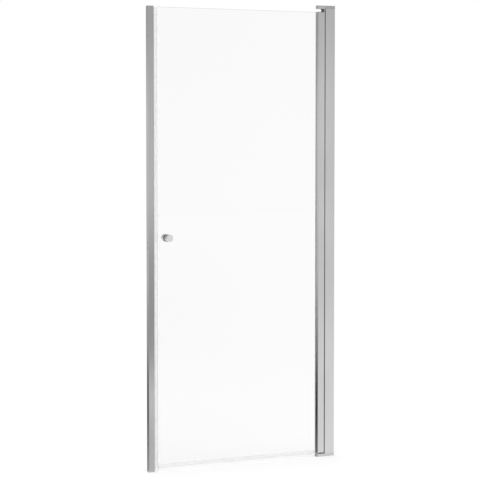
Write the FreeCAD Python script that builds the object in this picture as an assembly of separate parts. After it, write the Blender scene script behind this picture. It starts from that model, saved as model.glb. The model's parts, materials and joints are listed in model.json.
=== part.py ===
import FreeCAD, Part
import math
import os

# Pivot shower door for a niche. The strike side is on the left, the hinge side on the right.
# Sizes are in millimetres. X runs across the opening, -Y faces the room and +Z is up.
# The origin lies on the tray, half way across, in the middle of the glass.

# Overall size, from wall to wall and from the tray to the top
OVERALL_WIDTH = 880.0
OVERALL_HEIGHT = 1950.0
LEFT_WALL = -OVERALL_WIDTH / 2
RIGHT_WALL = OVERALL_WIDTH / 2

# Clearances
SLIP = 0.2            # between profiles that telescope
SNUG = 0.05           # between a piece and the pocket it is pressed into
RUNNING = 0.05        # radial play of a turning pin
KEY_PLAY = 0.1        # play on each flat of the keyed pin
THRUST_GAP = 0.2      # between the door's top bush and the washer that turns against it
CAM_GAP = 0.2         # height between the two lift cams
SEAL_GAP = 0.6        # between the two magnet seals when the door is shut
BARREL_GAP = 0.6      # between the hinge barrel and the hollow in the post
WALL_SETBACK = 0.5    # the hinge post stops this short of the wall
OVERCUT = 1.0         # how far a cutter runs past the face that it cuts

# Heights
TOP_BRACKET = 14.5
BOTTOM_BRACKET = 12.0
DOOR_TOP_GAP = 13.5   # between the top of the door and the top bracket
DOOR_BOTTOM_GAP = 3.5  # between the bottom bracket and the hinge profile
STRIKE_OVER_DOOR = 3.0
TOP_BRACKET_BOTTOM = OVERALL_HEIGHT - TOP_BRACKET
DOOR_TOP = TOP_BRACKET_BOTTOM - DOOR_TOP_GAP
STRIKE_HEIGHT = DOOR_TOP + STRIKE_OVER_DOOR

# Glass
GLASS_THICKNESS = 6.0
GLASS_FACE = GLASS_THICKNESS / 2
GLASS_BOTTOM = 14.5
GLASS_ARRIS = 0.5
GLASS_GRIP = 11.0     # how far the glass goes into the hinge profile

# Strike side: wall channel, telescoping profile and end caps
STRIKE_CHANNEL_WIDTH = 20.0
STRIKE_CHANNEL_DEPTH = 20.0
STRIKE_CHANNEL_WALL = 1.5
STRIKE_STICKS_OUT = 8.0
STRIKE_OVERLAP = 14.0  # how far the profile stays in the channel
STRIKE_PROFILE_WALL = 1.4
STRIKE_TOP_CAP = 5.0
STRIKE_FOOT = 6.0
STRIKE_PLUG = 14.0
STRIKE_CORNER = 1.0
STRIKE_REAR = STRIKE_CHANNEL_DEPTH / 2
STRIKE_EDGE = LEFT_WALL + STRIKE_CHANNEL_WIDTH
STRIKE_FACE = STRIKE_EDGE + STRIKE_STICKS_OUT
STRIKE_BACK = STRIKE_EDGE - STRIKE_OVERLAP
STRIKE_HALF = STRIKE_REAR - STRIKE_CHANNEL_WALL - SLIP
STRIKE_HOLLOW = STRIKE_HALF - STRIKE_PROFILE_WALL
STRIKE_METAL_TOP = STRIKE_HEIGHT - STRIKE_TOP_CAP

# Slot in the strike profile that holds the foot of the magnet seal
SLOT_LIP = 1.5
SLOT_MOUTH = 5.2
SLOT_WIDTH = 9.2
SLOT_DEPTH = 3.5
SLOT_WEB = 1.5
SLOT_FRONT = STRIKE_FACE - SLOT_LIP
SLOT_END = SLOT_FRONT - SLOT_DEPTH

# Magnet seals
MAGNET_WIDTH = 9.0
MAGNET_THICKNESS = 6.0
MAGNET_INSET = 3.0    # the magnets stop this short of each end of their seals
SEAL_SKIN = 0.9
SEAL_DEPTH = 12.0
SEAL_CORNER = 0.8
SEAL_LEG = 1.2
SEAL_LEG_LENGTH = 11.0
SEAL_HEAD = MAGNET_THICKNESS + 2 * SEAL_SKIN
STRIKE_SEAL_FACE = STRIKE_FACE + SEAL_HEAD
DOOR_SEAL_FACE = STRIKE_SEAL_FACE + SEAL_GAP
GLASS_LEFT = DOOR_SEAL_FACE + SEAL_HEAD

# Bottom seal on the glass
BOTTOM_SEAL_GRIP = 14.5
BOTTOM_SEAL_TIP = 1.0  # height of the wiper's edge above the tray
BOTTOM_SEAL_END = 2.5  # the strip stops this short of the hinge profile
SEAL_END_LIFT = 1.0    # the end block stops this much above the wiper's edge
WIPER_ROOT = 1.6
WIPER_EDGE = 0.8
FIN_REACH = 6.0
FIN_DROP = 6.5
FIN_ROOT = 1.5
FIN_EDGE = 0.8
SEAL_BITE = 0.4        # depth to which the wiper and the fin are rooted in the strip
BOTTOM_SEAL_TOP = GLASS_BOTTOM + BOTTOM_SEAL_GRIP

# Hinge post on the wall, with the wall channel that it slides over
POST_WIDTH = 47.5
POST_GAP = 3.0        # between the front edges of the hinge profile and the post
POST_REAR = 17.0
POST_WALL = 2.0
POST_LEFT_WALL = 3.4
POST_CORNER = 1.0
POST_PORT = 6.6       # square block that takes a bracket screw
POST_TRAVEL = 5.5     # room for the post to slide along its wall channel
POST_CHANNEL_WALL = 1.8
POST_LEFT = RIGHT_WALL - POST_WIDTH
PORT_RIGHT = POST_LEFT + POST_LEFT_WALL + POST_PORT
CHANNEL_LEFT = PORT_RIGHT + POST_TRAVEL

# Hinge profile on the door
HINGE_WIDTH = 34.3
HINGE_FRONT = -15.0   # front face, shared with the post and the brackets
HINGE_NOSE = 5.5      # radius of the rounded front edge beside the glass
HINGE_WALL = 1.6
HINGE_REAR_WALL = 2.2
HINGE_REAR_ROUND = 1.5
SHOULDER = 1.5        # where the rear face turns towards the barrel, past the glass slot's wall
SHOULDER_ROUND = 2.0
CHAMBER_CORNER = 1.0
BORE_WALL = 2.0       # between the chamber and the bore of the barrel
HINGE_CAP = 3.0
GLAZING = 1.5         # thickness of the rubber round the glass edge
GASKET_SETBACK = 0.5
HINGE_RIGHT = POST_LEFT - POST_GAP
HINGE_LEFT = HINGE_RIGHT - HINGE_WIDTH
HINGE_BOTTOM = BOTTOM_BRACKET + DOOR_BOTTOM_GAP
GLASS_RIGHT = HINGE_LEFT + GLASS_GRIP
GLAZING_HALF = GLASS_FACE + GLAZING
GLAZING_END = GLASS_RIGHT + GLAZING
HINGE_REAR = GLAZING_HALF + HINGE_REAR_WALL

# Pivot: a rise and fall hinge near the right edge of the hinge profile
PIVOT_IN = 8.0        # axis left of the front right edge
PIVOT_BEHIND = 8.5    # axis behind the front face
BARREL_BORE = 7.0
SWING = 95.0          # opening angle in degrees
LIFT_LEAD = 24.0      # rise of the door for a full turn
CAM_STARTS = 2
CAM_RADIUS = 6.5
CAM_STOP_ANGLE = 4.0  # turn between the steps of the two cams when shut
CAM_BASE_RADIUS = 8.0
CAM_BASE = 2.0
CAM_LOW = 2.0         # lowest part of the ramp above the base
CAM_SLEEVE = 19.0     # plain length of the door's cam above its ramps
PIN_RADIUS = 3.0
PIN_PROUD = 2.0       # the pin ends this far above the door's cam
PIN_RECESS = 0.8
PIN_CHAMFER = 0.6
PIVOT_X = HINGE_RIGHT - PIVOT_IN
PIVOT_Y = HINGE_FRONT + PIVOT_BEHIND
BARREL_RADIUS = math.hypot(PIVOT_IN, PIVOT_BEHIND)
CAM_STEP = LIFT_LEAD / CAM_STARTS
RAMP_ANGLE = 360 / CAM_STARTS
CAM_ZERO = BOTTOM_BRACKET + CAM_BASE + CAM_LOW
CAM_BODY_TOP = CAM_ZERO + CAM_STEP + CAM_SLEEVE
PIN_TOP = CAM_BODY_TOP + PIN_PROUD
LIFT = LIFT_LEAD * SWING / 360

# Lip seals that close the gap in front of the barrel and behind it
LIP_ROOT = 2.2
LIP_GAP = 0.35        # between the front lip and the barrel
FRONT_LIP_WIDTH = 1.2
FRONT_LIP_Y = HINGE_FRONT + POST_CORNER
REAR_LIP_WIDTH = 2.0
REAR_LIP_ROUND = 0.5
REAR_LIP_BEHIND = 7.7  # behind the pivot axis
REAR_LIP_Y = PIVOT_Y + REAR_LIP_BEHIND

# Keyed top pin, its washer and its guide
JOURNAL_RADIUS = 4.0
JOURNAL_LENGTH = 25.0
BUSH_LENGTH = 26.0
BUSH_PROUD = 1.0
WASHER = 0.8
COLLAR = 2.0
COLLAR_RADIUS = 6.5
KEY_ACROSS_FLATS = 8.0
GUIDE_RADIUS = 7.4
GUIDE_ROOF = 1.0
LIFT_SPARE = 0.5      # room left above the collar and above the key when fully open
BRACKET_ROOF = 2.0    # left above the guide
BUSH_TOP = DOOR_TOP + BUSH_PROUD
WASHER_BOTTOM = BUSH_TOP + THRUST_GAP
COLLAR_BOTTOM = WASHER_BOTTOM + WASHER
COLLAR_TOP = COLLAR_BOTTOM + COLLAR
GUIDE_BOTTOM = COLLAR_TOP + LIFT + LIFT_SPARE
GUIDE_TOP = OVERALL_HEIGHT - BRACKET_ROOF
KEY_TOP = GUIDE_TOP - GUIDE_ROOF - LIFT - LIFT_SPARE

# Pivot brackets above and below
BRACKET_EDGE = 0.8    # bevel round the top, smaller than the corners it runs round
BRACKET_INSIDE = 4.0  # radius of the inside corner between the arm and the block
SPIGOT = 6.0
SPIGOT_PLAY = 0.6
SPIGOT_SETBACK = 2.0  # between the spigot and the web of the wall channel
TOP_COVER = 1.2       # wall of the cover over the top bracket's block
TOP_BLOCK_FRONT = HINGE_FRONT + TOP_COVER + SLIP
TOP_BLOCK_REAR = POST_REAR - TOP_COVER - SLIP
TOP_BLOCK = OVERALL_HEIGHT - TOP_COVER - SLIP

# Knobs through the glass
KNOB_FROM_EDGE = 45.0
KNOB_Z = 970.0
KNOB_RADIUS = 15.0
KNOB_LENGTH = 24.0
KNOB_CHAMFER = 1.4
KNOB_FOOT_CHAMFER = 0.5
KNOB_WASHER = 2.5
KNOB_WASHER_PROUD = 0.4  # past the side of the knob
STUD_RADIUS = 3.0
STUD_IN_KNOB = 16.0
STUD_SPARE = 0.5
GLASS_HOLE = 6.0
GRUB_RADIUS = 2.0
GRUB_FROM_FOOT = 8.0
GRUB_RECESS = 1.0
KNOB_X = GLASS_LEFT + KNOB_FROM_EDGE
KNOB_FOOT = GLASS_FACE + KNOB_WASHER
KNOB_END = KNOB_FOOT + KNOB_LENGTH
STUD_HALF = KNOB_FOOT + STUD_IN_KNOB

# Screws and cover caps
SCREW_RADIUS = 1.7
SCREW_PLAY = 0.1
SCREW_HEAD = 3.4
SCREW_HEAD_HEIGHT = 2.0
SCREW_LENGTH = 12.0
PAN_HEAD = 3.0
CAP_SCREW_IN = 5.0    # front screw of an end cap, from the profile's left edge
CAP_SCREW_BACK = 5.4  # and from its front face
CAP_SCREW_PAST = 3.6  # rear screw, past the glass slot
CAP_SCREW_Y = 0.5
CLAMP_LENGTH = 5.0
COVER_RADIUS = 5.0
COVER_HEIGHT = 3.2
COVER_WALL = 0.9
COVER_CHAMFER = 1.0
CLAMP_FROM_TRAY = 150.0
CLAMP_FROM_TOP = 145.0
CLAMP_TOP = STRIKE_HEIGHT - CLAMP_FROM_TOP
CLAMP_HEIGHTS = (CLAMP_FROM_TRAY, (CLAMP_FROM_TRAY + CLAMP_TOP) / 2, CLAMP_TOP)

# Wall fixing holes, the same heights on both sides: one near each end and a pair below the middle
WALL_HOLE = 2.75
WALL_HOLE_FROM_END = 121.0
WALL_PAIR = 21.0
WALL_PAIR_DROP = 21.5
WALL_PAIR_MIDDLE = STRIKE_HEIGHT / 2 - WALL_PAIR_DROP
WALL_HOLE_HEIGHTS = (
    WALL_HOLE_FROM_END,
    WALL_PAIR_MIDDLE - WALL_PAIR / 2,
    WALL_PAIR_MIDDLE + WALL_PAIR / 2,
    STRIKE_HEIGHT - WALL_HOLE_FROM_END,
)

X_AXIS = FreeCAD.Vector(1, 0, 0)
Y_AXIS = FreeCAD.Vector(0, 1, 0)
Z_AXIS = FreeCAD.Vector(0, 0, 1)
ALONG_X = FreeCAD.Rotation(Y_AXIS, Z_AXIS, X_AXIS, "ZXY")
TOUCHING = 1e-4       # places closer than this are the same


# Small helpers

def at(x, y, z=0.0):
    return FreeCAD.Vector(x, y, z)


def rounded_face(corners):
    """A flat face from corners given as (x, y) or (x, y, radius)."""
    points = [at(corner[0], corner[1]) for corner in corners]
    radii = [corner[2] if len(corner) > 2 else 0.0 for corner in corners]
    turns = []
    for i, point in enumerate(points):
        back = (points[i - 1] - point).normalize()
        ahead = (points[(i + 1) % len(points)] - point).normalize()
        half = back.getAngle(ahead) / 2
        reach = radii[i] / math.tan(half)
        depth = radii[i] / math.sin(half) - radii[i]
        middle = point + (back + ahead).normalize() * depth
        turns.append((point + back * reach, middle, point + ahead * reach))
    edges = []
    for i, (start, middle, end) in enumerate(turns):
        if radii[i] > 0:
            edges.append(Part.Arc(start, middle, end).toShape())
        following = turns[(i + 1) % len(turns)][0]
        if end.distanceToPoint(following) > TOUCHING:
            edges.append(Part.makeLine(end, following))
    return Part.Face(Part.Wire(edges))


def rectangle(x0, x1, y0, y1):
    return rounded_face([(x0, y0), (x1, y0), (x1, y1), (x0, y1)])


def disc(x, y, radius):
    return Part.Face(Part.Wire(Part.makeCircle(radius, at(x, y))))


def joined(faces):
    """One flat face from faces that overlap or share an edge."""
    pieces = faces[0].multiFuse(faces[1:])
    return Part.makeShell(pieces.Faces).removeSplitter().Faces[0]


def prism(face, bottom, top):
    solid = face.extrude(at(0, 0, top - bottom))
    solid.translate(at(0, 0, bottom))
    return solid


def block(x0, x1, y0, y1, z0, z1):
    return Part.makeBox(x1 - x0, y1 - y0, z1 - z0, at(x0, y0, z0))


def rod(x, y, radius, bottom, top):
    return Part.makeCylinder(radius, top - bottom, at(x, y, bottom))


def tube(x, y, inner, outer, bottom, top):
    return rod(x, y, outer, bottom, top).cut(rod(x, y, inner, bottom, top))


def cross_rod(x, z, radius, y0, y1):
    return Part.makeCylinder(radius, y1 - y0, at(x, y0, z), Y_AXIS)


def level_edges(solid, height):
    """The outer edges of a solid that lie flat at one height."""
    flat = []
    for edge in solid.Edges:
        box = edge.BoundBox
        if abs(box.ZMin - height) + abs(box.ZMax - height) < TOUCHING:
            flat.append(edge)
    return flat


def write(node, shape):
    solids = shape.Solids
    whole = solids[0] if len(solids) == 1 else Part.makeCompound(solids)
    whole.exportStep("parts/" + node + ".step")


# Strike side

STRIKE_CLAMP_X = (STRIKE_BACK + STRIKE_EDGE) / 2


def strike_channel_face():
    outer = rounded_face([
        (LEFT_WALL, -STRIKE_REAR, STRIKE_CORNER), (STRIKE_EDGE, -STRIKE_REAR),
        (STRIKE_EDGE, STRIKE_REAR), (LEFT_WALL, STRIKE_REAR, STRIKE_CORNER),
    ])
    hollow = STRIKE_REAR - STRIKE_CHANNEL_WALL
    return outer.cut(rectangle(LEFT_WALL + STRIKE_CHANNEL_WALL, STRIKE_EDGE + OVERCUT, -hollow, hollow))


def wall_holes(left, right, y):
    """Cutters for the wall fixing holes, through the web of a channel between left and right."""
    length = right - left + 2 * OVERCUT
    return [Part.makeCylinder(WALL_HOLE, length, at(left - OVERCUT, y, z), X_AXIS) for z in WALL_HOLE_HEIGHTS]


def clamp_holes(x, rear, radius):
    """Cutters for the clamp screws, through the rear walls at x."""
    front = rear - CLAMP_LENGTH - OVERCUT
    return [cross_rod(x, z, radius, front, rear + OVERCUT) for z in CLAMP_HEIGHTS]


def clamp_screws(x, rear):
    screws = []
    for z in CLAMP_HEIGHTS:
        shank = cross_rod(x, z, SCREW_RADIUS, rear - CLAMP_LENGTH, rear)
        head = cross_rod(x, z, SCREW_HEAD, rear, rear + SCREW_HEAD_HEIGHT)
        screws.append(shank.fuse(head))
    return Part.makeCompound(screws)


def screw_covers(x, rear):
    """Bevelled covers that press over the heads of the clamp screws."""
    top = rear + COVER_HEIGHT
    covers = []
    for z in CLAMP_HEIGHTS:
        cover = cross_rod(x, z, COVER_RADIUS, rear, top)
        rim = [edge for edge in cover.Edges if abs(edge.BoundBox.YMin - top) < TOUCHING]
        cover = cover.makeChamfer(COVER_CHAMFER, rim)
        inside = cross_rod(x, z, COVER_RADIUS - COVER_WALL, rear - OVERCUT, rear + SCREW_HEAD_HEIGHT)
        covers.append(cover.cut(inside))
    return Part.makeCompound(covers)


def strike_wall_channel():
    channel = prism(strike_channel_face(), STRIKE_FOOT, STRIKE_METAL_TOP)
    screw_clearance = clamp_holes(STRIKE_CLAMP_X, STRIKE_REAR, SCREW_RADIUS + SCREW_PLAY)
    return channel.cut(wall_holes(LEFT_WALL, LEFT_WALL + STRIKE_CHANNEL_WALL, 0) + screw_clearance)


def strike_profile_face():
    return rounded_face([
        (STRIKE_BACK, -STRIKE_HALF), (STRIKE_FACE, -STRIKE_HALF, STRIKE_CORNER),
        (STRIKE_FACE, STRIKE_HALF, STRIKE_CORNER), (STRIKE_BACK, STRIKE_HALF),
    ])


def strike_profile():
    """A profile open to the wall, with a slot for the magnet seal on its other edge."""
    cutters = [
        rectangle(STRIKE_BACK - OVERCUT, SLOT_END - SLOT_WEB, -STRIKE_HOLLOW, STRIKE_HOLLOW),
        rectangle(SLOT_END, SLOT_FRONT, -SLOT_WIDTH / 2, SLOT_WIDTH / 2),
        rectangle(SLOT_FRONT - OVERCUT, STRIKE_FACE + OVERCUT, -SLOT_MOUTH / 2, SLOT_MOUTH / 2),
    ]
    profile = prism(strike_profile_face().cut(cutters), STRIKE_FOOT, STRIKE_METAL_TOP)
    return profile.cut(clamp_holes(STRIKE_CLAMP_X, STRIKE_REAR, SCREW_RADIUS + SCREW_PLAY / 2))


def seal_head(left):
    """Plan of the soft block of a seal, as wide as a magnet and its two skins."""
    right = left + SEAL_HEAD
    half = SEAL_DEPTH / 2
    return rounded_face([
        (left, -half, SEAL_CORNER), (right, -half, SEAL_CORNER),
        (right, half, SEAL_CORNER), (left, half, SEAL_CORNER),
    ])


def magnet_pocket(left):
    half = MAGNET_WIDTH / 2 + SNUG
    return rectangle(left + SEAL_SKIN, left + SEAL_SKIN + MAGNET_THICKNESS, -half, half)


def magnet(seal_left, bottom, top):
    """Magnet strip in the pocket of the seal that starts at seal_left."""
    left = seal_left + SEAL_SKIN
    strip = rectangle(left + SNUG, left + MAGNET_THICKNESS - SNUG, -MAGNET_WIDTH / 2, MAGNET_WIDTH / 2)
    return prism(strip, bottom + MAGNET_INSET, top - MAGNET_INSET)


def strike_magnet_seal():
    """Soft seal with a foot in the slot and a pocket for the magnet."""
    foot_half = SLOT_WIDTH / 2 - SNUG
    neck_half = SLOT_MOUTH / 2 - SNUG
    foot = rectangle(SLOT_END + SNUG, SLOT_FRONT - SNUG, -foot_half, foot_half)
    neck = rectangle(SLOT_END + SNUG, STRIKE_FACE + SEAL_SKIN, -neck_half, neck_half)
    section = joined([foot, neck, seal_head(STRIKE_FACE)]).cut(magnet_pocket(STRIKE_FACE))
    return prism(section, STRIKE_FOOT, STRIKE_METAL_TOP)


def strike_cap_face():
    channel_cover = rounded_face([
        (LEFT_WALL, -STRIKE_REAR, STRIKE_CORNER), (STRIKE_EDGE, -STRIKE_REAR, STRIKE_CORNER),
        (STRIKE_EDGE, STRIKE_REAR, STRIKE_CORNER), (LEFT_WALL, STRIKE_REAR, STRIKE_CORNER),
    ])
    return joined([channel_cover, strike_profile_face()])


def strike_plug(bottom, top):
    half = STRIKE_HOLLOW - SNUG
    return block(STRIKE_BACK, SLOT_END - SLOT_WEB - SNUG, -half, half, bottom, top)


def strike_top_cap():
    plate = prism(strike_cap_face(), STRIKE_METAL_TOP, STRIKE_HEIGHT)
    return plate.fuse(strike_plug(STRIKE_METAL_TOP - STRIKE_PLUG, STRIKE_METAL_TOP))


def strike_bottom_cap():
    plate = prism(strike_cap_face(), 0, STRIKE_FOOT)
    return plate.fuse(strike_plug(STRIKE_FOOT, STRIKE_FOOT + STRIKE_PLUG))


# Hinge side on the wall

POST_CLAMP_X = (CHANNEL_LEFT + RIGHT_WALL) / 2
PORT_X = PORT_RIGHT - POST_PORT / 2
PORT_FRONT_Y = HINGE_FRONT + POST_WALL + POST_PORT / 2
PORT_REAR_Y = POST_REAR - POST_WALL - POST_PORT / 2
PORTS = ((PORT_X, PORT_FRONT_Y), (PORT_X, PORT_REAR_Y))
CHANNEL_FRONT = HINGE_FRONT + POST_WALL + SLIP
CHANNEL_REAR = POST_REAR - POST_WALL - SLIP
CHANNEL_WEB = RIGHT_WALL - POST_CHANNEL_WALL


def hinge_wall_channel():
    outer = rectangle(CHANNEL_LEFT, RIGHT_WALL, CHANNEL_FRONT, CHANNEL_REAR)
    hollow = rectangle(CHANNEL_LEFT - OVERCUT, CHANNEL_WEB,
                       CHANNEL_FRONT + POST_CHANNEL_WALL, CHANNEL_REAR - POST_CHANNEL_WALL)
    channel = prism(outer.cut(hollow), BOTTOM_BRACKET + SLIP, TOP_BRACKET_BOTTOM - SLIP)
    screw_holes = clamp_holes(POST_CLAMP_X, POST_REAR, SCREW_RADIUS + SCREW_PLAY / 2)
    return channel.cut(wall_holes(CHANNEL_WEB, RIGHT_WALL, (CHANNEL_FRONT + CHANNEL_REAR) / 2) + screw_holes)


def hinge_post_profile():
    """Post that slides over the wall channel. Its left face is hollowed for the hinge barrel."""
    right = RIGHT_WALL - WALL_SETBACK
    outer = rounded_face([
        (POST_LEFT, HINGE_FRONT, POST_CORNER), (right, HINGE_FRONT),
        (right, POST_REAR), (POST_LEFT, POST_REAR, POST_CORNER),
    ])
    hollow = rectangle(POST_LEFT + POST_LEFT_WALL, right + OVERCUT,
                       HINGE_FRONT + POST_WALL, POST_REAR - POST_WALL)
    half = POST_PORT / 2
    reach = half + OVERCUT
    port_blocks = [rectangle(x - reach, x + half, y - reach, y + reach) for x, y in PORTS]
    section = joined([outer.cut(hollow)] + port_blocks)
    lips = ((FRONT_LIP_Y, FRONT_LIP_WIDTH), (REAR_LIP_Y, REAR_LIP_WIDTH))
    cutters = [rectangle(POST_LEFT - OVERCUT, POST_LEFT + LIP_ROOT, y, y + width) for y, width in lips]
    cutters += [disc(x, y, SCREW_RADIUS + SNUG) for x, y in PORTS]
    cutters.append(disc(PIVOT_X, PIVOT_Y, BARREL_RADIUS + BARREL_GAP))
    post = prism(section.cut(cutters), BOTTOM_BRACKET, TOP_BRACKET_BOTTOM)
    return post.cut(clamp_holes(POST_CLAMP_X, POST_REAR, SCREW_RADIUS + SCREW_PLAY))


def hinge_lip_seal():
    """Rubber lips pressed into the post, ending just clear of the barrel."""
    root = POST_LEFT + LIP_ROOT
    swept = disc(PIVOT_X, PIVOT_Y, BARREL_RADIUS + LIP_GAP)
    front_lip = rectangle(HINGE_RIGHT, root, FRONT_LIP_Y, FRONT_LIP_Y + FRONT_LIP_WIDTH).cut(swept)
    rear = REAR_LIP_Y + REAR_LIP_WIDTH
    tip = PIVOT_X + math.sqrt((BARREL_RADIUS + BARREL_GAP) ** 2 - REAR_LIP_BEHIND ** 2)
    rear_lip = rounded_face([
        (tip, REAR_LIP_Y, REAR_LIP_ROUND), (root, REAR_LIP_Y), (root, rear), (tip, rear, REAR_LIP_ROUND),
    ])
    sections = (front_lip, rear_lip)
    return Part.makeCompound([prism(section, BOTTOM_BRACKET, TOP_BRACKET_BOTTOM) for section in sections])


# Pivot brackets

def bracket_face():
    """Plan of the bottom bracket: a block under the post and an arm under the hinge profile."""
    return rounded_face([
        (HINGE_LEFT, HINGE_FRONT, HINGE_NOSE), (RIGHT_WALL, HINGE_FRONT), (RIGHT_WALL, POST_REAR),
        (POST_LEFT, POST_REAR, POST_CORNER), (POST_LEFT, HINGE_REAR, BRACKET_INSIDE),
        (HINGE_LEFT, HINGE_REAR, HINGE_NOSE),
    ])


def bracket_spigot(bottom, top):
    inset = POST_CHANNEL_WALL + SPIGOT_PLAY
    right = CHANNEL_WEB - SPIGOT_SETBACK
    return block(CHANNEL_LEFT, right, CHANNEL_FRONT + inset, CHANNEL_REAR - inset, bottom, top)


def countersunk(x, y, face, inward, length, play):
    """A countersunk screw, or its hole with some play. Its head is flush with the face.

    Inward is +1 or -1 along Z.
    """
    radius = SCREW_RADIUS + play
    way = at(0, 0, inward)
    cone = Part.makeCone(SCREW_HEAD + play, radius, SCREW_HEAD - SCREW_RADIUS, at(x, y, face), way)
    return cone.fuse(Part.makeCylinder(radius, length, at(x, y, face), way))


def bracket_holes(face, inward, thickness):
    return [countersunk(x, y, face, inward, thickness + OVERCUT, SCREW_PLAY) for x, y in PORTS]


def bracket_screws(face, inward, thickness):
    length = thickness + SCREW_LENGTH
    return Part.makeCompound([countersunk(x, y, face, inward, length, 0) for x, y in PORTS])


def bevelled(solid):
    """The solid with a bevel round its top."""
    return solid.makeChamfer(BRACKET_EDGE, level_edges(solid, OVERALL_HEIGHT))


def top_pivot_bracket():
    """An arm over the hinge profile and a lower block on the post."""
    arm_face = rounded_face([
        (HINGE_LEFT, HINGE_FRONT, HINGE_NOSE), (POST_LEFT, HINGE_FRONT),
        (POST_LEFT, HINGE_REAR), (HINGE_LEFT, HINGE_REAR, HINGE_NOSE),
    ])
    arm = bevelled(prism(arm_face, TOP_BRACKET_BOTTOM, OVERALL_HEIGHT))
    base = block(POST_LEFT, RIGHT_WALL, TOP_BLOCK_FRONT, TOP_BLOCK_REAR, TOP_BRACKET_BOTTOM, TOP_BLOCK)
    spigot = bracket_spigot(TOP_BRACKET_BOTTOM - SPIGOT, TOP_BRACKET_BOTTOM)
    pocket = rod(PIVOT_X, PIVOT_Y, GUIDE_RADIUS + SNUG, TOP_BRACKET_BOTTOM - OVERCUT, GUIDE_TOP)
    return arm.multiFuse([base, spigot]).cut([pocket] + bracket_holes(TOP_BLOCK, -1, TOP_BRACKET))


def post_top_cap():
    """Moulded cover that hides the top bracket's block and its screws."""
    left = POST_LEFT + SLIP
    outline = rounded_face([
        (left, HINGE_FRONT), (RIGHT_WALL, HINGE_FRONT),
        (RIGHT_WALL, POST_REAR), (left, POST_REAR, POST_CORNER),
    ])
    body = bevelled(prism(outline, TOP_BRACKET_BOTTOM, OVERALL_HEIGHT))
    inside = block(left - OVERCUT, RIGHT_WALL + OVERCUT, HINGE_FRONT + TOP_COVER, POST_REAR - TOP_COVER,
                   TOP_BRACKET_BOTTOM - OVERCUT, OVERALL_HEIGHT - TOP_COVER)
    return body.cut(inside)


def bottom_pivot_bracket():
    body = prism(bracket_face(), 0, BOTTOM_BRACKET)
    body = body.fuse(bracket_spigot(BOTTOM_BRACKET, BOTTOM_BRACKET + SPIGOT))
    pin_hole = rod(PIVOT_X, PIVOT_Y, PIN_RADIUS, -OVERCUT, BOTTOM_BRACKET + OVERCUT)
    return body.cut([pin_hole] + bracket_holes(0, 1, BOTTOM_BRACKET))


# Rise and fall pivot

RAMP_INNER = PIN_RADIUS / 2
RAMP_OUTER = BARREL_BORE + OVERCUT


def screw_space(turn, low, high):
    """Space of one helical ramp, from low to high about the ramp, started at the given turn."""
    helix = Part.makeHelix(LIFT_LEAD, CAM_STEP, (RAMP_INNER + RAMP_OUTER) / 2)
    start = at(RAMP_INNER, 0, low)
    corners = [start, at(RAMP_OUTER, 0, low), at(RAMP_OUTER, 0, high), at(RAMP_INNER, 0, high), start]
    outline = Part.makePolygon(corners)
    space = helix.makePipeShell([outline], True, True)
    # the sweep runs back down the helix, so it is raised by one ramp to begin at the given turn
    space.rotate(at(0, 0), Z_AXIS, turn + RAMP_ANGLE)
    space.translate(at(PIVOT_X, PIVOT_Y, CAM_ZERO + CAM_STEP + LIFT_LEAD * (turn % RAMP_ANGLE) / 360))
    return space


def fixed_lift_cam():
    """Cam on the bottom bracket. Its ramps rise the way the door opens."""
    base = rod(PIVOT_X, PIVOT_Y, CAM_BASE_RADIUS, BOTTOM_BRACKET, BOTTOM_BRACKET + CAM_BASE)
    ring = rod(PIVOT_X, PIVOT_Y, CAM_RADIUS, BOTTOM_BRACKET, CAM_ZERO + CAM_STEP)
    above = [screw_space(RAMP_ANGLE * i, 0, 2 * CAM_STEP) for i in range(CAM_STARTS)]
    pin = rod(PIVOT_X, PIVOT_Y, PIN_RADIUS, BOTTOM_BRACKET - OVERCUT, PIN_TOP)
    return ring.cut(above).fuse(base).cut(pin)


def door_lift_cam():
    """Cam in the door's barrel. It rides on the fixed cam and is bored to turn on the pin."""
    sleeve = tube(PIVOT_X, PIVOT_Y, PIN_RADIUS + RUNNING, BARREL_BORE - SNUG, CAM_ZERO, CAM_BODY_TOP)
    starts = [RAMP_ANGLE * i + CAM_STOP_ANGLE for i in range(CAM_STARTS)]
    teeth = [sleeve.common(screw_space(start, CAM_GAP, CAM_BODY_TOP)) for start in starts]
    return teeth[0].multiFuse(teeth[1:]).removeSplitter()


def bottom_pivot_pin():
    pin = rod(PIVOT_X, PIVOT_Y, PIN_RADIUS, PIN_RECESS, PIN_TOP)
    return pin.makeChamfer(PIN_CHAMFER, level_edges(pin, PIN_TOP))


def hexagon(across_flats):
    radius = across_flats / math.sqrt(3)
    angles = [math.radians(60 * i) for i in range(6)]
    return rounded_face([(PIVOT_X + radius * math.cos(a), PIVOT_Y + radius * math.sin(a)) for a in angles])


def top_pin_guide():
    """Bush in the top bracket. Its six-sided hole lets the pin rise but not turn."""
    body = rod(PIVOT_X, PIVOT_Y, GUIDE_RADIUS, GUIDE_BOTTOM, GUIDE_TOP)
    key_way = hexagon(KEY_ACROSS_FLATS + 2 * KEY_PLAY)
    return body.cut(prism(key_way, GUIDE_BOTTOM - OVERCUT, GUIDE_TOP - GUIDE_ROOF))


def top_pivot_pin():
    """Pin with a round journal in the door, a collar, and a six-sided key in the bracket."""
    journal = rod(PIVOT_X, PIVOT_Y, JOURNAL_RADIUS, COLLAR_BOTTOM - JOURNAL_LENGTH, COLLAR_BOTTOM)
    collar = rod(PIVOT_X, PIVOT_Y, COLLAR_RADIUS, COLLAR_BOTTOM, COLLAR_TOP)
    key = prism(hexagon(KEY_ACROSS_FLATS), COLLAR_TOP, KEY_TOP)
    return journal.multiFuse([collar, key])


def top_thrust_washer():
    return tube(PIVOT_X, PIVOT_Y, JOURNAL_RADIUS + SNUG, COLLAR_RADIUS, WASHER_BOTTOM, COLLAR_BOTTOM)


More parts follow.
